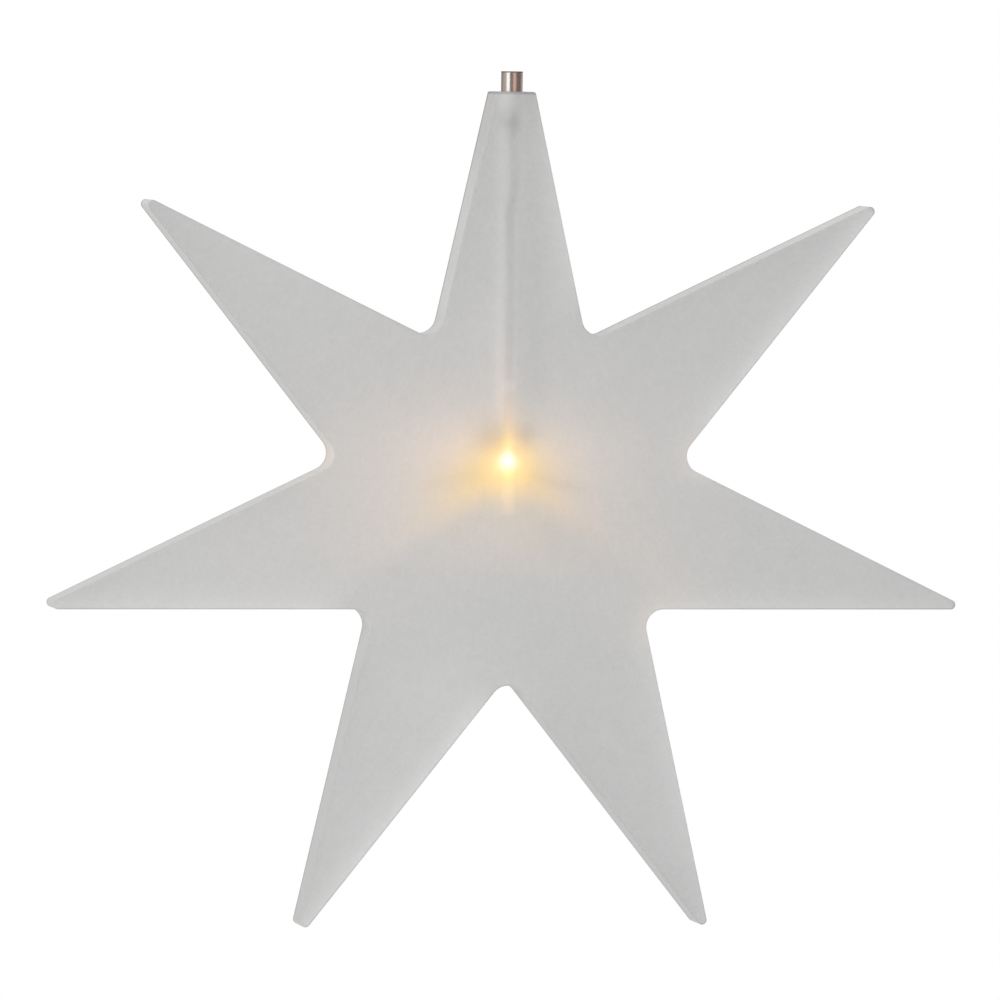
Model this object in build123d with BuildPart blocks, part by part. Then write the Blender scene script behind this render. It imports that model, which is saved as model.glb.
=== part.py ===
"""Seven-pointed acrylic star pendant, lit from inside by one small lamp in a drilled bore.

Millimetres, +Z up. The star lies in the XZ plane and its front faces -Y.
The origin is the centre of the stem tube's upper end, by which the star hangs.
"""

from build123d import *
from math import cos, hypot, pi, radians, sin, tan
import os

os.makedirs("parts", exist_ok=True)

# Star plate: a regular star whose edges join every third point of a circle
point_count = 7
chord_step = 3
tip_radius = 136.0  # from the centre to the tips, before they are rounded
plate_thickness = 12.0
tip_rounding = 1.35
notch_rounding = 4.9
top_corner_rounding = 0.8
edge_break = 0.4  # chamfer along the edges of both faces
top_cut = 22.8  # length cut off the top tip, which leaves a flat end for the bore
arm_wall = 2.5  # acrylic left beside the bore at that end

# Bore drilled down the top arm, with the cone that a drill leaves
bore_diameter = 6.1
bore_below_centre = 3.0  # how far the full diameter reaches past the star's centre
drill_point_angle = 118.0

# Stem tube, a running fit in the mouth of the bore
tube_wall = 0.5
tube_exposed = 5.6
tube_seated = 5.3
tube_fit = 0.05
tube_lead_in = 0.1  # the seated length tapers by this much at its lower end

# Lamp: a clear round body with a flange, domed end down, on two legs
lamp_fit = 0.15  # between the flange and the bore
flange_lip = 0.4
flange_thickness = 1.0
lamp_length = 8.6
light_height = 10.8  # mouth of the reflector cup above the star's centre
cup_from_base = 4.05  # mouth of the cup below the lamp's base
leg_pitch = 2.54
leg_width = 0.5
leg_length = 6.0
anvil_depth = 0.9  # where the lead frame widens inside the lamp's base
cup_radius = 0.75
cup_height = 1.0
cup_mouth_radius = 0.6
cup_floor_radius = 0.35
cup_depth = 0.45
die_side = 0.35
die_height = 0.15
phosphor_crown = 0.15
post_setback = 0.2  # end of the anode post above the mouth of the cup
bond_diameter = 0.04
bond_loop = 0.35  # how far the bond wire's loop hangs below the mouth of the cup
bond_bend = 0.15

# Wires, their joints and their sleeves
core_diameter = 0.5
jacket_diameter = 1.0
strip_length = 2.0
wire_gap = 0.1  # between the two jackets where they run side by side
solder_length = 2.4
sleeve_wall = 0.3
sleeve_overlap = 3.0  # length of jacket that a sleeve covers
sleeve_above_base = 1.0
snug = 0.02  # clearance of pieces that are crimped, shrunk or moulded round others

# Splice under the tube, where the wires meet the cord that comes down the tube
splice_gap = 0.3
splice_length = 6.0
splice_wall = 0.28
splice_side = 0.6  # the splice lies this far to the right of the bore's axis
crimp_diameter = 1.3
crimp_length = 4.6
crimp_spacing = 1.6
jacket_from_crimp = 0.2

# Route of the pair of wires: share of the height between its end bends, sideways shift
wire_waver = ((0.14, 0.4), (0.27, 0.8), (0.42, 0.45), (0.58, 0.25), (0.73, 0.1), (0.86, 1.0))
lower_straight = 8.0
upper_straight = 3.0
bend_share = 0.45  # share of the shorter run that a bend may take up

# Sizes and heights that follow from these
notch_radius = tip_radius * cos(pi * chord_step / point_count) / cos(pi * (chord_step - 1) / point_count)
bore_radius = bore_diameter / 2
top_half_width = bore_radius + arm_wall
top_height = tip_radius - top_cut
arm_top_z = -tube_exposed
star_z = arm_top_z - top_height
bore_end_z = star_z - bore_below_centre
bore_tip_z = bore_end_z - bore_radius / tan(radians(drill_point_angle / 2))

tube_radius = bore_radius - tube_fit
tube_end_z = arm_top_z - tube_seated

flange_radius = bore_radius - lamp_fit
lens_radius = flange_radius - flange_lip
cup_mouth_z = star_z + light_height
cup_floor_z = cup_mouth_z + cup_depth
die_face_z = cup_floor_z - die_height
lamp_base_z = cup_mouth_z + cup_from_base
anvil_top_z = lamp_base_z - anvil_depth
post_end_z = cup_mouth_z + post_setback
leg_end_z = lamp_base_z + leg_length
leg_x = leg_pitch / 2

core_radius = core_diameter / 2
jacket_radius = jacket_diameter / 2
jacket_start_z = leg_end_z + strip_length
pair_offset = (jacket_diameter + wire_gap) / 2

splice_top_z = tube_end_z - splice_gap
splice_end_z = splice_top_z - splice_length
crimp_radius = crimp_diameter / 2
crimp_top_z = splice_top_z - (splice_length - crimp_length) / 2
crimp_end_z = crimp_top_z - crimp_length
crimp_middle_z = (crimp_top_z + crimp_end_z) / 2
jacket_end_z = crimp_end_z - jacket_from_crimp

pieces = {}


def star_outline():
    """Corners of the star about its centre, with the top tip cut off flat."""
    corners = []
    for index in range(point_count):
        tip_angle = pi / 2 + 2 * pi * index / point_count
        notch_angle = tip_angle + pi / point_count
        if index == 0:
            corners.append((top_half_width, top_height))
            corners.append((-top_half_width, top_height))
        else:
            corners.append((tip_radius * cos(tip_angle), tip_radius * sin(tip_angle)))
        corners.append((notch_radius * cos(notch_angle), notch_radius * sin(notch_angle)))
    return corners


def is_notch(corner):
    """Whether a corner of the outline is one of the inner ones."""
    return hypot(corner.X, corner.Y) < notch_radius + tip_rounding


def is_top_corner(corner):
    """Whether a corner belongs to the cut end of the top arm."""
    return corner.Y > top_height - top_corner_rounding and abs(corner.X) < top_half_width + tip_rounding


def is_tip(corner):
    """Whether a corner is one of the pointed tips."""
    return not is_notch(corner) and not is_top_corner(corner)


def wire_route(side, start_z, end_z):
    """Points of one wire from a lamp leg up to its crimp."""
    low_z = leg_end_z + lower_straight
    high_z = crimp_end_z - upper_straight
    crimp_x = splice_side + side * crimp_spacing / 2
    points = [(side * leg_x, 0, start_z), (side * leg_x, 0, low_z)]
    for share, shift in wire_waver:
        points.append((shift + side * pair_offset, 0, low_z + share * (high_z - low_z)))
    points.append((crimp_x, 0, high_z))
    points.append((crimp_x, 0, end_z))
    return points


def bend_radii(points):
    """The largest bend that each inner point of a route leaves room for."""
    radii = []
    for before, here, after in zip(points, points[1:], points[2:]):
        run_in = Vector(here) - Vector(before)
        run_out = Vector(after) - Vector(here)
        half_turn = radians(run_in.get_angle(run_out)) / 2
        radii.append(bend_share * min(run_in.length, run_out.length) / tan(half_turn))
    return radii


# Star plate
star_plane = Plane(origin=(0, 0, star_z), x_dir=(1, 0, 0), z_dir=(0, -1, 0))
with BuildPart() as star_plate:
    with BuildSketch(star_plane) as outline:
        with BuildLine():
            Polyline(*star_outline(), close=True)
        make_face()
        fillet(outline.vertices().filter_by(is_tip), tip_rounding)
        fillet(outline.vertices().filter_by(is_notch), notch_rounding)
        fillet(outline.vertices().filter_by(is_top_corner), top_corner_rounding)
    extrude(amount=plate_thickness / 2, both=True)
    chamfer(star_plate.faces().filter_by(Axis.Y).edges(), edge_break)
    with BuildSketch(Plane.XZ):
        with BuildLine():
            Polyline(
                (0, arm_top_z),
                (bore_radius, arm_top_z),
                (bore_radius, bore_end_z),
                (0, bore_tip_z),
                close=True,
            )
        make_face()
    revolve(axis=Axis.Z, mode=Mode.SUBTRACT)
pieces["star_plate"] = star_plate.part

# Stem tube
with BuildPart() as stem_tube:
    with BuildSketch(Plane.XZ):
        with BuildLine():
            Polyline(
                (tube_radius - tube_wall, 0),
                (tube_radius, 0),
                (tube_radius, arm_top_z),
                (tube_radius - tube_lead_in, tube_end_z),
                (tube_radius - tube_wall, tube_end_z),
                close=True,
            )
        make_face()
    revolve(axis=Axis.Z)
pieces["stem_tube"] = stem_tube.part

# Lamp leg with the reflector cup
with BuildPart() as led_cathode:
    with BuildSketch(Plane.XY.offset(anvil_top_z)):
        with Locations((-leg_x, 0)):
            Rectangle(leg_width, leg_width)
    extrude(amount=leg_end_z - anvil_top_z)
    anvil_left = -leg_x - leg_width / 2
    anvil_right = cup_mouth_radius
    anvil_foot_z = cup_floor_z + (cup_height - cup_depth) / 2
    with BuildSketch(Plane.XZ):
        with BuildLine():
            Polyline(
                (anvil_left, anvil_top_z),
                (anvil_left, cup_mouth_z + cup_height + leg_width),
                (-cup_mouth_radius, anvil_foot_z),
                (anvil_right, anvil_foot_z),
                (anvil_right, cup_mouth_z + cup_height + leg_width),
                (anvil_left + leg_width, anvil_top_z),
                close=True,
            )
        make_face()
    extrude(amount=leg_width / 2, both=True)
    with BuildSketch(Plane.XY.offset(cup_mouth_z)):
        Circle(cup_radius)
    extrude(amount=cup_height)
    with BuildSketch(Plane.XZ):
        with BuildLine():
            Polyline(
                (0, cup_mouth_z),
                (cup_mouth_radius, cup_mouth_z),
                (cup_floor_radius, cup_floor_z),
                (0, cup_floor_z),
                close=True,
            )
        make_face()
    revolve(axis=Axis.Z, mode=Mode.SUBTRACT)
pieces["led_cathode"] = led_cathode.part

# Lamp leg that ends in a plain post
with BuildPart() as led_anode:
    with BuildSketch(Plane.XY.offset(post_end_z)):
        with Locations((leg_x, 0)):
            Rectangle(leg_width, leg_width)
    extrude(amount=leg_end_z - post_end_z)
pieces["led_anode"] = led_anode.part

# Chip on the floor of the cup
with BuildPart() as led_die:
    with BuildSketch(Plane.XY.offset(die_face_z)):
        Rectangle(die_side, die_side)
    extrude(amount=die_height)
pieces["led_die"] = led_die.part

# Bond wire from the chip's face over to the end of the anode post
bond_loop_z = cup_mouth_z - bond_loop
with BuildPart() as led_bond_wire:
    with BuildLine():
        FilletPolyline(
            (0, 0, die_face_z),
            (0, 0, bond_loop_z),
            (leg_x, 0, bond_loop_z),
            (leg_x, 0, post_end_z),
            radius=bond_bend,
        )
    with BuildSketch(Plane(origin=(0, 0, die_face_z), z_dir=(0, 0, -1))):
        Circle(bond_diameter / 2)
    sweep()
pieces["led_bond_wire"] = led_bond_wire.part

# Phosphor that fills the cup over the chip, with a low crown
with BuildPart() as led_phosphor:
    with BuildSketch(Plane.XZ):
        with BuildLine():
            Line((0, cup_floor_z), (cup_floor_radius, cup_floor_z))
            Line((cup_floor_radius, cup_floor_z), (cup_mouth_radius, cup_mouth_z))
            SagittaArc((cup_mouth_radius, cup_mouth_z), (-cup_mouth_radius, cup_mouth_z), phosphor_crown)
            Line((-cup_mouth_radius, cup_mouth_z), (-cup_floor_radius, cup_floor_z))
            Line((-cup_floor_radius, cup_floor_z), (0, cup_floor_z))
        make_face()
        split(bisect_by=Plane.YZ)
    revolve(axis=Axis.Z)
    add(led_die.part, mode=Mode.SUBTRACT)
    add(led_bond_wire.part, mode=Mode.SUBTRACT)
pieces["led_phosphor"] = led_phosphor.part

# Clear body of the lamp, moulded round what it holds
dome_z = lamp_base_z - lamp_length + lens_radius
with BuildPart() as led_lens:
    with BuildSketch(Plane.XY.offset(lamp_base_z - flange_thickness)):
        Circle(flange_radius)
        with Locations((-lens_radius, 0)):
            Rectangle(
                flange_lip * 2, flange_radius * 2, align=(Align.MAX, Align.CENTER), mode=Mode.SUBTRACT
            )
    extrude(amount=flange_thickness)
    with BuildSketch(Plane.XY.offset(dome_z)):
        Circle(lens_radius)
    extrude(amount=lamp_base_z - dome_z)
    with Locations((0, 0, dome_z)):
        Sphere(lens_radius)
    for held in (led_cathode, led_anode, led_die, led_phosphor, led_bond_wire):
        add(held.part, mode=Mode.SUBTRACT)
pieces["led_lens"] = led_lens.part

# Shrink sleeve over the splice, with a hole for each crimp
with BuildPart() as splice_sleeve:
    with BuildSketch(Plane.XY.offset(splice_end_z)):
        with Locations((splice_side, 0)):
            SlotCenterToCenter(crimp_spacing, crimp_diameter + 2 * (snug + splice_wall))
            with GridLocations(crimp_spacing, 0, 2, 1):
                Circle(crimp_radius + snug, mode=Mode.SUBTRACT)
    extrude(amount=splice_length)
pieces["splice_sleeve"] = splice_sleeve.part

# One set of wire, crimp, solder joint and sleeve for each pole
for pole, side, leg in (("positive", 1, led_anode), ("negative", -1, led_cathode)):
    core_points = wire_route(side, leg_end_z, crimp_middle_z)
    with BuildPart() as core:
        with BuildLine():
            FilletPolyline(*core_points, radius=bend_radii(core_points))
        with BuildSketch(Plane(origin=core_points[0], z_dir=(0, 0, 1))):
            Circle(core_radius)
        sweep()
    pieces[f"{pole}_core"] = core.part

    jacket_points = wire_route(side, jacket_start_z, jacket_end_z)
    jacket_radii = bend_radii(jacket_points)
    with BuildPart() as jacket:
        with BuildLine() as jacket_path:
            FilletPolyline(*jacket_points, radius=jacket_radii)
        with BuildSketch(Plane(origin=jacket_points[0], z_dir=(0, 0, 1))) as ring:
            Circle(jacket_radius)
            Circle(core_radius + snug, mode=Mode.SUBTRACT)
        sweep()
    pieces[f"{pole}_jacket"] = jacket.part
    path_length = sum(edge.length for edge in jacket_path.edges())
    print(
        f"{pole} jacket: {path_length:.1f} mm long, least bend radius {min(jacket_radii):.1f} mm,",
        f"volume over section times length {jacket.part.volume / (ring.sketch.area * path_length):.5f}",
    )

    with BuildPart() as crimp:
        with BuildSketch(Plane.XY.offset(crimp_end_z)):
            with Locations((splice_side + side * crimp_spacing / 2, 0)):
                Circle(crimp_radius)
                Circle(core_radius + snug, mode=Mode.SUBTRACT)
        extrude(amount=crimp_length)
    pieces[f"{pole}_crimp"] = crimp.part

    with BuildPart() as solder:
        with Locations((side * leg_x, 0, leg_end_z)):
            Cylinder(jacket_radius, solder_length)
        fillet(solder.edges().filter_by(GeomType.CIRCLE), jacket_radius / 2)
        add(leg.part, mode=Mode.SUBTRACT)
        add(core.part, mode=Mode.SUBTRACT)
    pieces[f"{pole}_solder"] = solder.part

    sleeve_start_z = lamp_base_z + sleeve_above_base
    with BuildPart() as sleeve:
        with BuildSketch(Plane.XY.offset(sleeve_start_z)):
            with Locations((side * leg_x, 0)):
                Circle(jacket_radius + snug + sleeve_wall)
                Circle(jacket_radius + snug, mode=Mode.SUBTRACT)
        extrude(amount=jacket_start_z + sleeve_overlap - sleeve_start_z)
    pieces[f"{pole}_sleeve"] = sleeve.part

for name, piece in pieces.items():
    piece.label = name
    export_step(piece, f"parts/{name}.step")
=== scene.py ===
import math

import bmesh
import bpy
from mathutils import Matrix, Vector


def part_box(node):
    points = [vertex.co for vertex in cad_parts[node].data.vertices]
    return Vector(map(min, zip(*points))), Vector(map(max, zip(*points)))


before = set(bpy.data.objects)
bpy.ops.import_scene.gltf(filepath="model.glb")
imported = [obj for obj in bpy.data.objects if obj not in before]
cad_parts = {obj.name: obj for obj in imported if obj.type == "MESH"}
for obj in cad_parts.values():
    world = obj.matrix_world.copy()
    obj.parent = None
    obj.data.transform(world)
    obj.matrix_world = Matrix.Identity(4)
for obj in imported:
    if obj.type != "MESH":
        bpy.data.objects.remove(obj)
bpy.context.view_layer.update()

MM = 0.001

# The star's outline, from the frame: seven points, each a wedge with a rounded tip
POINTS = 7
SECTOR = 2 * math.pi / POINTS
HALF_TIP_ANGLE = math.pi / (2 * POINTS)
HALF_NOTCH_ANGLE = HALF_TIP_ANGLE + SECTOR / 2
TIP_ROUNDING = 1.35 * MM
NOTCH_ROUNDING = 4.9 * MM
star_low, star_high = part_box("star_plate")
tip_reach = (star_high[0] - star_low[0]) / 2 / math.sin(2 * SECTOR)
sharp_radius = tip_reach + TIP_ROUNDING * (1 / math.sin(HALF_TIP_ANGLE) - 1)
notch_radius = sharp_radius * math.sin(HALF_TIP_ANGLE) / math.sin(HALF_NOTCH_ANGLE)
star_centre = Vector((0, 0, star_low[2] + tip_reach * math.cos(SECTOR / 2)))

# The mouth of the lamp's reflector cup, where its light comes from, and the bore that the tube fits
BORE_CLEARANCE = 0.05 * MM
lamp_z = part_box("led_cathode")[0][2]
tube_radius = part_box("stem_tube")[1][0]
bore_radius = tube_radius + BORE_CLEARANCE

# The photograph's view: from the left and a little above, far off, with a slight roll
VIEW_YAW, VIEW_PITCH, VIEW_ROLL = (math.radians(a) for a in (12.19, 2.91, 0.79))
VIEW_DISTANCE = 2.547
VIEW_WIDTH = 0.27782
VIEW_SLIDE_RIGHT, VIEW_SLIDE_UP = -1.71 * MM, -0.057 * MM
SENSOR_WIDTH = 36.0

# The stage: strength of the world as light and as background, the floor, and the cards round the tube
WORLD_LIGHT, WORLD_SEEN = 0.88, 1.0
FLOOR_RADIUS, FLOOR_Z = 12.0, -4.0
FLOOR_PALE_TO, FLOOR_WHITE_FROM = 1.0, 4.0
CARD_DISTANCE = 80 * MM
CARD_LOW, CARD_HIGH = -20 * MM, 30 * MM
CARD_STEPS = 12


class Finish:
    """One node material. Its calls add a node, link what they are given and return the node's output."""

    def __init__(self, name, **constants):
        self.material = bpy.data.materials.new(name)
        self.material.use_nodes = True
        self.tree = self.material.node_tree
        self.shader = self.tree.nodes["Principled BSDF"]
        for socket, value in constants.items():
            self.set(socket.replace("_", " "), value)

    def feed(self, socket, value):
        """Links an output to a socket, or sets a plain value on it."""
        if isinstance(value, bpy.types.NodeSocket):
            self.tree.links.new(value, socket)
        elif value is not None:
            socket.default_value = value

    def set(self, name, value):
        self.feed(self.shader.inputs[name], value)

    def node(self, kind, **settings):
        made = self.tree.nodes.new(kind)
        for name, value in settings.items():
            setattr(made, name, value)
        return made

    def math(self, operation, a, b=None):
        made = self.node("ShaderNodeMath", operation=operation)
        self.feed(made.inputs[0], a)
        self.feed(made.inputs[1], b)
        return made.outputs[0]

    def add(self, *values):
        total = values[0]
        for value in values[1:]:
            total = self.math("ADD", total, value)
        return total

    def times(self, *values):
        product = values[0]
        for value in values[1:]:
            product = self.math("MULTIPLY", product, value)
        return product

    def minus(self, a, b):
        return self.math("SUBTRACT", a, b)

    def over(self, a, b):
        return self.math("DIVIDE", a, b)

    def larger(self, a, b):
        return self.math("MAXIMUM", a, b)

    def absolute(self, value):
        return self.math("ABSOLUTE", value)

    def less(self, value):
        """What is left of 1 after a share is taken off."""
        return self.minus(1.0, value)

    def off(self, value, middle):
        """How far a value lies past a middle that is a plain number."""
        return self.add(value, -middle)

    def dot(self, a, b):
        """Sum of the products of two pairs."""
        return self.add(self.times(a[0], b[0]), self.times(a[1], b[1]))

    def length(self, a, b):
        """Length of a flat step of a across and b up."""
        return self.math("SQRT", self.dot((a, b), (a, b)))

    def decay(self, distance, reach):
        """1 at no distance, falling by e at each reach."""
        return self.math("EXPONENT", self.times(distance, -1 / reach))

    def bell(self, distance, width):
        """1 at no distance, falling off on both sides as a bell of that width."""
        ratio = self.times(distance, 1 / width)
        return self.math("EXPONENT", self.times(ratio, ratio, -1.0))

    def spot(self, across, up, middle, half_width, half_height):
        """1 at a middle, falling off on all sides as a bell of those half sizes."""
        aside = self.times(self.off(across, middle[0]), 1 / half_width)
        above = self.times(self.off(up, middle[1]), 1 / half_height)
        return self.bell(self.length(aside, above), 1.0)

    def step(self, value, start, end):
        """0 before start and 1 after end, smooth between them."""
        made = self.node("ShaderNodeMapRange", interpolation_type="SMOOTHSTEP")
        self.feed(made.inputs["Value"], value)
        made.inputs["From Min"].default_value = start
        made.inputs["From Max"].default_value = end
        return made.outputs["Result"]

    def stretch(self, value, start, full, fade, end):
        """1 from full to fade, falling smoothly to 0 at start and end."""
        return self.times(self.step(value, start, full), self.less(self.step(value, fade, end)))

    def between(self, share, low, high):
        """A number from low to high as share goes from 0 to 1."""
        made = self.node("ShaderNodeMapRange")
        self.feed(made.inputs["Value"], share)
        made.inputs["To Min"].default_value = low
        made.inputs["To Max"].default_value = high
        return made.outputs["Result"]

    def mix(self, share, a, b):
        """Colour a turning into colour b."""
        made = self.node("ShaderNodeMix", data_type="RGBA")
        self.feed(made.inputs["Factor"], share)
        self.feed(made.inputs[6], a)
        self.feed(made.inputs[7], b)
        return made.outputs[2]

    def colour(self, red, green, blue):
        """A colour from three numbers."""
        made = self.node("ShaderNodeCombineColor")
        for socket, value in zip(made.inputs, (red, green, blue)):
            self.feed(socket, value)
        return made.outputs[0]

    def place(self, scale=(1, 1, 1)):
        """Position on the piece at rest, in metres times scale."""
        mapping = self.node("ShaderNodeMapping")
        self.feed(mapping.inputs["Vector"], self.node("ShaderNodeTexCoord").outputs["Object"])
        mapping.inputs["Scale"].default_value = scale
        return mapping.outputs["Vector"]

    def place_mm(self):
        """Position on the piece at rest, in millimetres along each axis."""
        return self.axes(self.place((1 / MM, 1 / MM, 1 / MM)))

    def facing(self):
        """Direction that the surface faces, in the piece's own frame."""
        return self.node("ShaderNodeTexCoord").outputs["Normal"]

    def axes(self, vector):
        made = self.node("ShaderNodeSeparateXYZ")
        self.feed(made.inputs[0], vector)
        return made.outputs

    def noise(self, vector, scale, detail=3.0):
        """Even noise from about 0 to 1."""
        made = self.node("ShaderNodeTexNoise")
        self.feed(made.inputs["Vector"], vector)
        made.inputs["Scale"].default_value = scale
        made.inputs["Detail"].default_value = detail
        return made.outputs["Fac"]

    def bump(self, height, depth):
        """Small relief, depth in metres."""
        made = self.node("ShaderNodeBump")
        self.feed(made.inputs["Height"], height)
        made.inputs["Distance"].default_value = depth
        self.set("Normal", made.outputs["Normal"])


def rgba(*colour):
    return (*colour, 1.0)


def dress(finish, *nodes):
    """Gives CAD nodes their material."""
    for node in nodes:
        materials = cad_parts[node].data.materials
        materials.clear()
        materials.append(finish.material)


class Glow:
    """The lamp's light, painted into the plate's colour and glow: places across and up from the lamp, in
    mm, and its parts.
    """

    # The glow lies further left on the front and further right on the back, by this share of the depth
    SLANT = 0.17

    def __init__(self, f, x, y, z):
        self.f = f
        self.across = f.minus(x, f.times(y, self.SLANT))
        self.aside = f.absolute(self.across)
        self.up = f.off(z, lamp_z / MM)

    def sideways(self, right_share):
        """Distance to the side, counted more on the right, where the glow is shorter."""
        return self.f.larger(self.f.times(self.across, right_share), self.f.times(self.across, -1.0))

    def fan(self):
        """What is left of the glow below the end of the bore, where it ends in a shallow fan."""
        f = self.f
        level_to, slope = 7.0, 0.65
        near_share, far_share = 0.7, 0.3
        fall = f.times(f.larger(f.off(self.aside, level_to), 0.0), slope)
        below = f.times(f.add(self.up, fall), -1.0)
        near = f.times(f.step(below, 4.5, 15.5), near_share)
        far = f.times(f.step(below, 24.0, 44.0), far_share)
        return f.less(f.add(near, far))

    def wide(self):
        """The wide glow, longest to the sides and cut short below, and on the right above."""
        f = self.f
        reach, right_share = 20.0, 1.4
        above = f.times(self.up, f.between(f.step(self.across, 0.0, 8.0), 2.2, 2.8))
        below = f.times(self.up, -0.65)
        far_below = f.add(f.times(self.up, -1.65), -23.0)
        upright = f.larger(f.larger(above, below), far_below)
        return f.times(f.decay(f.length(self.sideways(right_share), upright), reach), self.fan())

    def pockets(self):
        """Two shaded pockets beside the bore above the lamp, the right one higher, smaller and darker."""
        f = self.f
        height, rise = 7.0, 0.12
        left_aside, right_aside = 5.0, 4.4
        left_width, right_width = 4.5, 3.6
        left_strength, right_strength = 1.0, 1.12
        right = f.step(self.across, -3.0, 3.0)
        above = f.add(self.up, -height, f.times(self.across, -rise))
        aside = f.minus(self.aside, f.between(right, left_aside, right_aside))
        away = f.times(f.length(aside, above), f.between(right, 1 / left_width, 1 / right_width))
        return f.times(f.bell(away, 1.0), f.between(right, left_strength, right_strength))

    def arcs(self):
        """Two faint arcs of painted shade that fall to both sides below the lamp, the right one lower and
        darker.
        """
        f = self.f
        drop, right_drop, slope, thickness = 1.3, 1.2, 0.25, 2.0
        left_strength, right_strength = 0.7, 1.0
        right = f.step(self.across, 0.0, 6.0)
        above = f.add(self.up, drop, f.times(self.aside, slope), f.times(right, right_drop))
        return f.times(
            f.bell(above, thickness),
            f.stretch(self.aside, 4.0, 11.0, 16.0, 28.0),
            f.between(right, left_strength, right_strength),
        )

    def tint(self):
        """Painted warm light from the lamp, a faint tint below the fan, mostly on the right."""
        return self.f.spot(self.across, self.up, (15.0, -19.0), 18.0, 10.0)

    def halo(self):
        """The painted yellow light round the white spot."""
        return self.f.spot(self.across, self.up, (0.0, -0.7), 5.0, 5.0)

    def core(self):
        """The painted white spot of the lamp's light, which narrows upward as a drop does."""
        f = self.f
        height, half_height = 0.35, 2.45
        middle_half_width, narrowing, widest_at = 2.3, 0.2, -3.0
        above = f.off(self.up, height)
        half_width = f.add(f.times(f.larger(above, widest_at), -narrowing), middle_half_width)
        return f.bell(f.length(f.over(self.across, half_width), f.times(above, 1 / half_height)), 1.0)

    def plume(self):
        """Light that runs up the bore from the lamp, leaning a little to the left."""
        f = self.f
        start, full, reach = 2.0, 6.0, 11.0
        centred_at, lean, width = 11.0, 0.1, 2.6
        middle = f.add(self.across, f.times(f.off(self.up, centred_at), lean))
        strength = f.times(f.step(self.up, start, full), f.decay(f.off(self.up, full), reach))
        return f.times(f.bell(middle, width), strength)

    def neck(self):
        """A painted streak of yellow light above and below the white spot, along the bore."""
        return self.f.spot(self.across, self.up, (0.0, -0.5), 2.4, 7.0)

    def glint(self):
        """A painted glint, a pale spot where the lamp's legs meet the wires."""
        return self.f.spot(self.across, self.up, (0.2, 21.0), 1.8, 1.8)

    def lit_bore_end(self):
        """Painted lamp light at the drilled end of the bore below the lamp."""
        f = self.f
        return f.times(f.bell(self.across, 2.3), f.stretch(self.up, -15.5, -14.0, -9.0, -5.0))

    def amber(self):
        """Where the plate looks amber round the lamp: painted warm light, taken out of its blue and green.
        """
        f = self.f
        slope, right_share = 0.4, 1.3
        half_width, half_above, half_below = 16.5, 9.5, 13.5
        lifted = f.add(self.up, f.times(self.aside, slope))
        upright = f.larger(f.times(lifted, 1 / half_above), f.times(lifted, -1 / half_below))
        aside = f.times(self.sideways(right_share), 1 / half_width)
        return f.times(f.bell(f.length(aside, upright), 1.0), self.fan())


class Plate:
    """Places on the star plate, in millimetres, and which of its surfaces a point is on."""

    def __init__(self, f):
        bevel_facing, bevel_width = math.sqrt(0.5), 0.15
        clear_to, frosted_from = bore_radius / MM + 0.2, bore_radius / MM + 0.8
        bore_bottom, bore_full = -22.0, -20.0
        self.x, self.y, self.z = f.place_mm()
        self.faces_right, faces_back, self.faces_up = f.axes(f.facing())
        self.above_centre = f.off(self.z, star_centre.z / MM)
        self.reach = f.length(self.x, self.above_centre)
        self.below_end = f.minus(star_high[2] / MM, self.z)
        self.glow = Glow(f, self.x, self.y, self.z)

        in_bore = f.less(f.step(f.length(self.x, self.y), clear_to, frosted_from))
        self.bore = f.times(in_bore, f.step(self.glow.up, bore_bottom, bore_full))
        self.outside = f.less(self.bore)
        face_on = f.absolute(faces_back)
        self.flat = f.step(face_on, 0.3, 0.65)
        self.wall = f.times(f.less(f.step(face_on, 0.3, 0.9)), self.outside)
        self.bevel = f.times(f.bell(f.off(face_on, bevel_facing), bevel_width), self.outside)
        self.upward = f.larger(self.faces_up, 0.0)


def frosting(f, grain):
    """Haze, cloud, mottle and fine grain, round a mean of 1."""
    mottle = f.noise(f.place(), 850.0)
    cloud = f.noise(f.place(), 420.0)
    haze = f.noise(f.place(), 70.0, detail=4.0)
    return f.add(
        f.between(haze, 0.985, 1.015),
        f.between(cloud, -0.04, 0.04),
        f.between(mottle, -0.05, 0.05),
        f.between(grain, -0.055, 0.055),
    )


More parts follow.
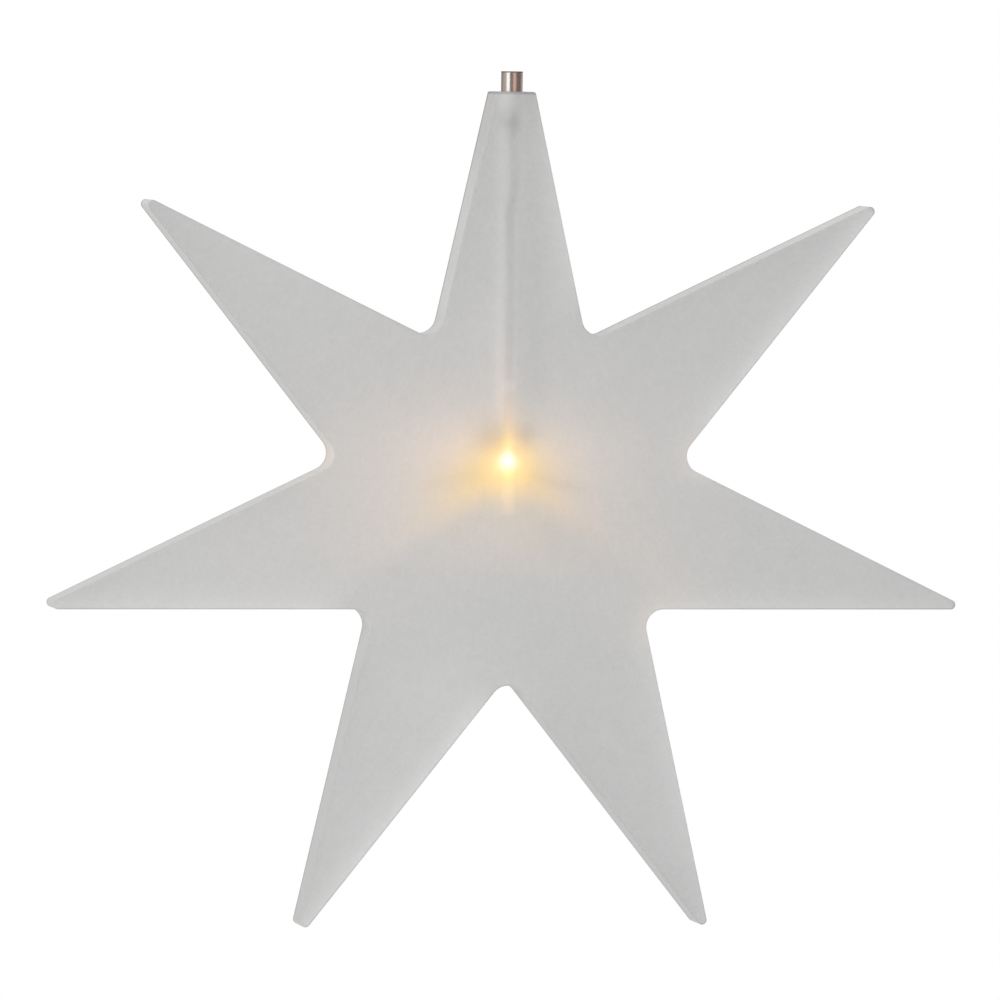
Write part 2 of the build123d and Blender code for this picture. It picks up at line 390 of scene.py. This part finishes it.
def edge_light_and_shade(f, x, z):
    """Painted light and shade near the plate's edges: it brightens near its lower right edges, a little
    near its upper right ones, and is shaded near the others.

    x and z are in millimetres from the star's centre. Within one arm, both of its long edges count,
    each from the tip to the notch, and past the notch the distance is to the notch itself.
    """
    lower_right, upper_right, lower_left = (math.radians(a) for a in (130, 15, 231))
    lit, faintly_lit, shaded, shaded_left = 0.29, 0.05, -0.04, -0.03
    least_distance = 0.05
    notch_along = notch_radius * math.cos(SECTOR / 2) / MM
    notch_across = notch_radius * math.sin(SECTOR / 2) / MM
    sine, cosine = math.sin(HALF_TIP_ANGLE), math.cos(HALF_TIP_ANGLE)

    angle = f.math("ARCTAN2", x, z)
    arm = f.math("SNAP", f.add(angle, SECTOR / 2), SECTOR)
    off_axis = f.minus(angle, arm)
    radius = f.length(x, z)
    along = f.times(radius, f.math("COSINE", off_axis))
    across = f.times(radius, f.math("SINE", off_axis))

    def toward(direction, way_out, distance):
        """Cosine between the way to the edge and a direction, clockwise from straight up."""
        turn = f.minus(direction, arm)
        return f.over(f.dot(way_out, (f.math("COSINE", turn), f.math("SINE", turn))), distance)

    lifts = []
    for side in (1, -1):
        to_notch = f.minus(notch_along, along), f.minus(notch_across, f.times(across, side))
        inside = f.larger(f.dot(to_notch, (sine, cosine)), least_distance)
        past_notch = f.larger(f.dot(to_notch, (cosine, -sine)), 0.0)
        to_edge = inside, past_notch
        distance = f.length(inside, past_notch)
        way_out = f.dot(to_edge, (sine, cosine)), f.dot(to_edge, (side * cosine, -side * sine))
        low = toward(lower_right, way_out, distance)
        high = toward(upper_right, way_out, distance)
        left = toward(lower_left, way_out, distance)
        lift = f.add(
            f.times(f.larger(low, 0.0), f.decay(distance, 3.0), lit),
            f.times(f.step(high, 0.7, 1.0), f.decay(distance, 2.5), faintly_lit),
            f.times(f.step(f.times(low, -1.0), 0.3, 0.9), f.decay(distance, 6.0), shaded),
            f.times(f.step(left, 0.7, 1.0), f.decay(distance, 10.0), shaded_left),
        )
        clear_of_notch = f.step(f.length(*to_notch), 4.0, 18.0)
        lifts.append(f.times(lift, clear_of_notch))
    return f.add(*lifts)


def bore_light_and_shade(f, plate):
    """How the bore and the wires in it show on the frosted faces as painted light and shade: a light band,
    the wires' wavering shade beside it, a light line on their right, and shade over the dark splice under
    the tube."""
    across, up, z = plate.glow.across, plate.glow.up, plate.z
    splice_low, splice_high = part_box("splice_sleeve")
    splice_middle = (splice_low[2] + splice_high[2]) / 2 / MM
    splice = f.bell(f.off(z, splice_middle), 2.9)

    # The wires' shade drifts to the right above and bends to the left twice
    wires_at, drift_by = -0.2, 0.9
    lower_bend = f.times(f.bell(f.off(z, -40.5), 5.5), -0.5)
    upper_bend = f.times(f.bell(f.off(z, -18.0), 6.0), -0.8)
    drift = f.times(f.step(z, -40.0, -31.0), drift_by)
    off_wires = f.minus(across, f.add(drift, lower_bend, upper_bend, wires_at))
    wires_shade = f.between(f.bell(f.off(z, -40.0), 8.0), -0.032, -0.07)

    band = f.times(f.bell(f.off(across, -2.3), 2.0), f.less(f.step(off_wires, -1.6, -0.4)))
    wires = f.bell(f.off(off_wires, 0.4), 1.3)
    line = f.bell(f.off(f.minus(across, drift), 1.8), 0.9)
    # Painted shade right of the bore, a painted reflection of the tube where it sits, and painted lamp
    # light spreading up
    shade_right_of_bore = f.bell(f.off(across, 6.5), 5.0)
    at_splice = f.times(f.bell(f.off(across, 0.3), 2.0), splice)
    tube_seat_sheen = f.spot(across, z, (-1.6, -7.6), 2.4, 2.8)
    spread_light = f.spot(across, up, (-6.0, 38.0), 8.0, 14.0)
    stripes = f.add(
        f.times(band, f.less(f.times(splice, 0.7)), 0.1),
        f.times(wires, wires_shade),
        f.times(line, 0.035),
        f.times(shade_right_of_bore, -0.05),
        f.times(at_splice, -0.13),
        f.times(tube_seat_sheen, 0.1),
        f.times(spread_light, 0.035),
    )
    return f.times(stripes, f.step(up, 6.0, 20.0))


def face_light_and_shade(f, plate):
    """Painted light and shade on the flat faces: what the edges and the bore do to them, a painted bright
    patch left of the bottom notch and darker arm ends, except at the upper right. All of the star is
    painted lighter toward the lower left."""
    low_left = f.step(f.dot((plate.glow.across, plate.glow.up), (-0.8, -0.4)), 15.0, 110.0)
    patch = f.spot(plate.x, plate.above_centre, (-19.0, -54.0), 16.0, 16.0)
    upper_right = f.step(f.add(plate.x, plate.above_centre), 110.0, 180.0)
    arm_ends = f.times(f.step(plate.reach, 95.0, 132.0), f.less(upper_right))
    on_faces = f.add(
        edge_light_and_shade(f, plate.x, plate.above_centre),
        bore_light_and_shade(f, plate),
        f.times(patch, 0.045),
        f.times(arm_ends, -0.05),
    )
    return f.add(f.times(on_faces, plate.flat), f.times(low_left, 0.035))


def bevel_light_and_shade(f, plate):
    """Painted light and shade on the bevels: lighter where they face up or right, and a painted dark line
    along the lower right of the arms.
    """
    down_right = f.dot((plate.faces_right, plate.faces_up), (0.7, -1.2))
    under_arms = f.times(f.step(down_right, 0.4, 0.9), f.step(plate.reach, 55.0, 75.0))
    plain_bevel = -0.03
    tone = f.add(
        plain_bevel,
        f.times(f.step(plate.faces_up, 0.2, 0.67), 0.07),
        f.times(f.larger(plate.faces_right, 0.0), 0.1),
        f.times(under_arms, -0.12),
    )
    return f.times(tone, plate.bevel)


def wall_light_and_shade(f, plate):
    """Painted light and shade on the side walls: darker overall, lighter where they face up, higher on the
    star, further right and in the notches, with a painted dark rim along the plate's back."""
    across, up = plate.glow.across, plate.glow.up
    back = star_high[1] / MM
    plain_wall_shade = -0.225
    rim_shade = f.add(
        f.between(f.step(plate.faces_up, -0.5, 0.1), -0.55, -0.42),
        f.times(plate.upward, f.step(across, 10.0, 50.0), -0.2),
    )
    rim_strength = f.between(f.step(up, -60.0, 40.0), 0.55, 1.0)
    per_height = f.between(f.step(plate.faces_up, -0.3, 0.2), 0.00025, 0.00085)
    in_notch = f.less(f.step(plate.reach, 56.0, 68.0))
    tone = f.add(
        plain_wall_shade,
        f.times(f.step(plate.y, back - 2.4, back - 0.6), rim_shade, rim_strength),
        f.times(plate.upward, 0.11),
        f.times(plate.upward, f.larger(across, 0.0), 0.00045),
        f.times(up, per_height),
        f.times(in_notch, 0.07),
    )
    return f.times(tone, plate.wall)


def end_shade(f, plate):
    """Painted shade: dark tips on the right, a dark edge on the top arm's cut end, and a shade under its
    right side.
    """
    at_tip = f.step(plate.reach, tip_reach / MM - 1.4, tip_reach / MM - 0.2)
    below_cut = f.times(f.decay(plate.below_end, 9.0), f.step(plate.x, -2.0, 5.0))
    cut_edge = f.times(f.less(f.step(plate.below_end, 0.4, 0.9)), plate.outside)
    return f.add(
        f.times(at_tip, f.step(plate.x, 50.0, 100.0), -0.25),
        f.times(below_cut, -0.15),
        f.times(cut_edge, -0.3),
    )


def frosted_colour(f, plate, grain):
    """The grey of the frosted plate with its painted light and shade, less what the painted shade and the
    lamp's painted warm light take from it.
    """
    base_red, base_green, base_blue = 0.553, 0.553, 0.55
    tone = f.add(
        frosting(f, grain),
        face_light_and_shade(f, plate),
        bevel_light_and_shade(f, plate),
        wall_light_and_shade(f, plate),
        end_shade(f, plate),
    )
    pockets, amber, tint = plate.glow.pockets(), plate.glow.amber(), plate.glow.tint()
    arcs = f.times(plate.glow.arcs(), 0.07)
    red_loss = f.add(f.times(pockets, 0.18), arcs)
    green_loss = f.add(f.times(pockets, 0.17), arcs, f.times(amber, 0.13), f.times(tint, 0.03))
    blue_loss = f.add(f.times(pockets, 0.14), arcs, f.times(tint, 0.06))
    return f.colour(
        f.times(tone, base_red, f.less(red_loss)),
        f.times(tone, base_green, f.less(green_loss)),
        f.times(tone, base_blue, f.less(blue_loss), f.less(f.times(amber, 0.6))),
    )


def notch_fringe(f, x, z):
    """Light that leaves the faces beside the rounded notches on the right and, weaker, at the bottom."""
    reach = 2.5
    centre_radius = (notch_radius + NOTCH_ROUNDING / math.sin(HALF_NOTCH_ANGLE)) / MM
    fringes = []
    for sectors_from_top, share in ((1.5, 1.0), (2.5, 1.3), (3.5, 0.4)):
        turn = SECTOR * sectors_from_top
        across, up = centre_radius * math.sin(turn), centre_radius * math.cos(turn)
        distance = f.off(f.length(f.off(x, across), f.off(z, up)), NOTCH_ROUNDING / MM)
        fringes.append(f.times(f.decay(distance, reach), share))
    return f.add(*fringes)


def sum_of_lights(f, *lights):
    """Adds lights, each an amount with its red, green and blue share, into one colour."""
    channels = []
    for channel in range(3):
        parts = [f.times(amount, share[channel]) for amount, share in lights if share[channel]]
        channels.append(f.add(*parts))
    return f.colour(*channels)


def plate_light(f, plate):
    """The lamp's light in the plate, the light beside the notches, and what the plate carries to its walls,
    warm in the notches beside the lamp."""
    glow = plate.glow
    fringe = notch_fringe(f, plate.x, plate.above_centre)
    # Painted warm light in a patch right of the middle and below it
    warm_patch = f.spot(plate.x, plate.above_centre, (45.0, -25.0), 16.0, 16.0)
    in_plate = (
        (glow.wide(), (0.48, 0.26, 0.12)),
        (glow.halo(), (0.25, 0.16, 0.02)),
        (glow.core(), (0.2, 0.3, 0.65)),
        (glow.plume(), (0.22, 0.1, 0.01)),
        (glow.neck(), (0.0, 0.08, 0.0)),
        (glow.glint(), (0.05, 0.05, 0.05)),
        (glow.lit_bore_end(), (0.09, 0.05, 0.02)),
        (f.times(plate.flat, fringe), (0.085, 0.068, 0.055)),
        (f.times(plate.flat, warm_patch), (0.018, 0.009, 0.0)),
    )
    beside_lamp = f.times(f.bell(f.off(glow.up, 2.0), 4.5), f.decay(f.off(glow.aside, 45.0), 12.0))
    on_walls = (
        (beside_lamp, (0.14, 0.075, 0.03)),
        (f.step(plate.below_end, 1.0, 8.0), (0.014, 0.017, 0.012)),
    )
    return sum_of_lights(
        f,
        *((f.times(plate.outside, amount), share) for amount, share in in_plate),
        *((f.times(plate.wall, amount), share) for amount, share in on_walls),
    )


def acrylic():
    """Satin-frosted acrylic with the lamp's light from inside painted into its colour and glow, its bore
    clearer than the faces.
    """
    f = Finish("frosted_acrylic", IOR=1.49, Emission_Strength=1.0)
    plate = Plate(f)
    grain = f.noise(f.place(), 1600.0)
    frosted_pass, bore_pass = f.times(plate.flat, plate.outside, 0.22), f.times(plate.bore, 0.92)
    f.set("Base Color", f.mix(plate.bore, frosted_colour(f, plate, grain), rgba(0.96, 0.96, 0.95)))
    f.set("Roughness", f.add(f.between(grain, 0.4, 0.5), f.times(plate.bore, -0.2)))
    f.set("Transmission Weight", f.add(frosted_pass, bore_pass))
    f.set("Emission Color", plate_light(f, plate))
    f.bump(grain, 0.02 * MM)
    return f


def nickel():
    """Drawn nickel-plated tube with fine lengthwise marks, with painted shade inside it and round its upper
    end.
    """
    f = Finish("nickel_plate", Metallic=1.0)
    x, y, z = f.place_mm()
    marks = f.noise(f.place((1, 1, 0.04)), 4000.0)
    plated = f.times(
        f.step(f.length(x, y), tube_radius / MM - 0.25, tube_radius / MM - 0.05),
        f.between(f.step(z, -0.5, -0.2), 1.0, 0.25),
    )
    shiny = f.mix(marks, rgba(0.72, 0.67, 0.64), rgba(0.8, 0.76, 0.73))
    painted_dark_inside = f.mix(marks, rgba(0.1, 0.085, 0.07), rgba(0.16, 0.13, 0.11))
    f.set("Base Color", f.mix(plated, painted_dark_inside, shiny))
    f.set("Roughness", f.add(f.between(marks, 0.2, 0.3), f.times(f.less(plated), 0.3)))
    f.bump(marks, 0.004 * MM)
    return f


def speckled(name, low, high, scale, depth, roughness, stretch=(1, 1, 1), **constants):
    """A stuff whose colour goes from low to high in specks, with a relief of that depth in millimetres."""
    f = Finish(name, Roughness=roughness, **constants)
    pattern = f.noise(f.place(stretch), scale)
    f.set("Base Color", f.mix(pattern, rgba(*low), rgba(*high)))
    f.bump(pattern, depth * MM)
    return f


def metal(name, low, high, scale, depth, roughness, stretch=(1, 1, 1)):
    """A speckled stuff that is metal."""
    return speckled(name, low, high, scale, depth, roughness, stretch, Metallic=1.0)


def lens():
    """Clear epoxy round the lit chip."""
    f = Finish("clear_epoxy", Roughness=0.06, IOR=1.53, Transmission_Weight=1.0, Emission_Strength=0.04)
    haze = f.noise(f.place(), 900.0)
    f.set("Base Color", f.mix(haze, rgba(0.98, 0.95, 0.88), rgba(1.0, 0.98, 0.93)))
    f.set("Emission Color", f.mix(haze, rgba(1.0, 0.86, 0.55), rgba(1.0, 0.9, 0.65)))
    return f


def phosphor():
    """Cast yellow phosphor over the chip, lit."""
    f = speckled("phosphor", (0.9, 0.7, 0.2), (0.95, 0.8, 0.3), 9000, 0.01, 0.6, Emission_Strength=1.5)
    f.set("Emission Color", rgba(1.0, 0.82, 0.5))
    return f


def dress_frame():
    """Every CAD node keeps its shape and gets its own finish."""
    dress(acrylic(), "star_plate")
    dress(nickel(), "stem_tube")

    sleeve = speckled("shrink_sleeve", (0.018, 0.017, 0.017), (0.035, 0.033, 0.032), 2500, 0.02, 0.5)
    dress(sleeve, "splice_sleeve", "positive_sleeve", "negative_sleeve")

    tinned = metal("tinned_copper", (0.66, 0.65, 0.62), (0.8, 0.79, 0.77), 3000, 0.01, 0.3)
    dress(tinned, "positive_crimp", "negative_crimp")

    red_pvc = speckled("positive_pvc", (0.16, 0.012, 0.01), (0.22, 0.018, 0.014), 2500, 0.01, 0.4)
    dress(red_pvc, "positive_jacket")

    black_pvc = speckled("negative_pvc", (0.014, 0.014, 0.015), (0.03, 0.03, 0.031), 2500, 0.01, 0.4)
    dress(black_pvc, "negative_jacket")

    strands = metal("copper", (0.75, 0.36, 0.22), (0.9, 0.48, 0.32), 6000, 0.02, 0.35, stretch=(1, 1, 0.1))
    dress(strands, "positive_core", "negative_core")

    solder = metal("solder", (0.6, 0.6, 0.6), (0.75, 0.75, 0.74), 2500, 0.02, 0.3)
    dress(solder, "positive_solder", "negative_solder")

    lead_frame = metal("lead_frame", (0.7, 0.69, 0.66), (0.82, 0.81, 0.79), 4000, 0.01, 0.25)
    dress(lead_frame, "led_anode", "led_cathode")

    dress(lens(), "led_lens")
    dress(speckled("chip", (0.08, 0.1, 0.2), (0.12, 0.14, 0.26), 9000, 0.005, 0.3), "led_die")
    dress(phosphor(), "led_phosphor")
    dress(metal("gold", (0.95, 0.68, 0.3), (1.0, 0.76, 0.4), 9000, 0.002, 0.2), "led_bond_wire")


def seen_world():
    """White to the camera, in metal and through the plate, and a plain level of light on the object."""
    world = bpy.data.worlds.new("studio")
    bpy.context.scene.world = world
    world.use_nodes = True
    tree = world.node_tree
    background = tree.nodes["Background"]
    path = tree.nodes.new("ShaderNodeLightPath")
    seen = path.outputs["Is Camera Ray"]
    for kind in ("Is Glossy Ray", "Is Transmission Ray"):
        either = tree.nodes.new("ShaderNodeMath")
        either.operation = "MAXIMUM"
        tree.links.new(seen, either.inputs[0])
        tree.links.new(path.outputs[kind], either.inputs[1])
        seen = either.outputs[0]
    strength = tree.nodes.new("ShaderNodeMapRange")
    strength.inputs["To Min"].default_value = WORLD_LIGHT
    strength.inputs["To Max"].default_value = WORLD_SEEN
    tree.links.new(seen, strength.inputs["Value"])
    tree.links.new(strength.outputs["Result"], background.inputs["Strength"])
    background.inputs["Color"].default_value = rgba(1, 1, 1)


def floor_paper():
    """Pale paper that turns white away from the object where it is looked at, also in metal and through
    the plate."""
    f = Finish("floor_paper", Roughness=0.9, Emission_Strength=1.0)
    x, y, _ = f.axes(f.place())
    away = f.step(f.length(x, y), FLOOR_PALE_TO, FLOOR_WHITE_FROM)
    path = f.node("ShaderNodeLightPath").outputs
    in_metal_or_plate = f.larger(path["Is Glossy Ray"], path["Is Transmission Ray"])
    seen = f.times(away, f.larger(path["Is Camera Ray"], in_metal_or_plate))
    pale = f.mix(f.noise(f.place(), 40.0), rgba(0.86, 0.86, 0.86), rgba(0.89, 0.89, 0.89))
    f.set("Base Color", f.mix(seen, pale, rgba(0, 0, 0)))
    f.set("Emission Color", f.mix(seen, rgba(0, 0, 0), rgba(1, 1, 1)))
    f.set("Specular IOR Level", 0.0)
    return f


def floor():
    """A round floor far below the hanging star."""
    mesh = bpy.data.meshes.new("floor")
    shape = bmesh.new()
    bmesh.ops.create_circle(shape, cap_ends=True, segments=128, radius=FLOOR_RADIUS)
    shape.to_mesh(mesh)
    shape.free()
    paper = bpy.data.objects.new("floor", mesh)
    paper.location.z = FLOOR_Z
    bpy.context.collection.objects.link(paper)
    mesh.materials.append(floor_paper().material)


def lamps():
    """A soft key light from the upper left, a weaker one from the lower left and one on the back."""
    for name, offset, size, power in (
        ("key_lamp", Vector((-1.2, -1.1, 0.5)), 1.0, 9.0),
        ("low_lamp", Vector((-0.6, -0.75, -0.75)), 0.8, 3.0),
        ("back_lamp", Vector((1.5, 0.9, 0.3)), 1.2, 9.0),
    ):
        data = bpy.data.lights.new(name, "AREA")
        data.size = size
        data.energy = power
        lamp = bpy.data.objects.new(name, data)
        bpy.context.collection.objects.link(lamp)
        lamp.visible_glossy = False
        lamp.location = star_centre + offset
        lamp.rotation_euler = offset.to_track_quat("Z", "Y").to_euler()


def card_mesh(name, start, end):
    """An upright strip round the tube's axis, between two angles in degrees round from the camera."""
    mesh = bpy.data.meshes.new(name)
    shape = bmesh.new()
    rows = []
    for index in range(CARD_STEPS + 1):
        turn = math.radians(start + (end - start) * index / CARD_STEPS) - VIEW_YAW
        point = Vector((math.sin(turn), -math.cos(turn), 0)) * CARD_DISTANCE
        rows.append([shape.verts.new(point + Vector((0, 0, z))) for z in (CARD_LOW, CARD_HIGH)])
    for a, b in zip(rows, rows[1:]):
        shape.faces.new((a[0], b[0], b[1], a[1]))
    shape.to_mesh(mesh)
    shape.free()
    return mesh


def card_paint(name, colour):
    """Light of one colour, a little uneven as on a real card."""
    f = Finish(name, Roughness=1.0, Emission_Strength=1.0)
    f.set("Base Color", rgba(0, 0, 0))
    darker, lighter = (rgba(*(level * c for c in colour)) for level in (0.9, 1.1))
    f.set("Emission Color", f.mix(f.noise(f.place(), 40.0), darker, lighter))
    return f


def cards():
    """Small curved cards close round the tube, seen only in reflections, which give it its bands."""
    for name, start, end, colour in (
        ("back_card", -179, -100, (0.34, 0.29, 0.27)),
        ("left_card", -100, -66, (0.48, 0.43, 0.4)),
        ("pale_card", -66, -56, (0.66, 0.62, 0.6)),
        ("white_card", -56, -22, (1.38, 1.44, 1.42)),
        ("front_card", -22, 13, (0.2, 0.15, 0.14)),
        ("rose_card", 13, 44, (0.72, 0.5, 0.43)),
        ("brown_card", 44, 108, (0.17, 0.12, 0.095)),
        ("right_card", 108, 179, (0.42, 0.38, 0.36)),
    ):
        mesh = card_mesh(name, start, end)
        card = bpy.data.objects.new(name, mesh)
        bpy.context.collection.objects.link(card)
        mesh.materials.append(card_paint(name, colour).material)
        for ray in ("camera", "diffuse", "transmission", "volume_scatter", "shadow"):
            setattr(card, "visible_" + ray, False)


def camera():
    """The photograph's camera."""
    ahead = Vector(
        (
            math.cos(VIEW_PITCH) * math.sin(VIEW_YAW),
            math.cos(VIEW_PITCH) * math.cos(VIEW_YAW),
            -math.sin(VIEW_PITCH),
        )
    )
    level_right = Vector((math.cos(VIEW_YAW), -math.sin(VIEW_YAW), 0))
    level_up = level_right.cross(ahead)
    right = level_right * math.cos(VIEW_ROLL) + level_up * math.sin(VIEW_ROLL)
    up = level_up * math.cos(VIEW_ROLL) - level_right * math.sin(VIEW_ROLL)
    data = bpy.data.cameras.new("camera")
    data.sensor_width = SENSOR_WIDTH
    data.lens = SENSOR_WIDTH * VIEW_DISTANCE / VIEW_WIDTH
    made = bpy.data.objects.new("camera", data)
    bpy.context.collection.objects.link(made)
    stand = star_centre - ahead * VIEW_DISTANCE + right * VIEW_SLIDE_RIGHT + up * VIEW_SLIDE_UP
    made.matrix_world = Matrix.Translation(stand) @ Matrix((right, up, -ahead)).transposed().to_4x4()
    bpy.context.scene.camera = made


dress_frame()
seen_world()
floor()
lamps()
cards()
camera()
bpy.context.scene.view_settings.view_transform = "Standard"
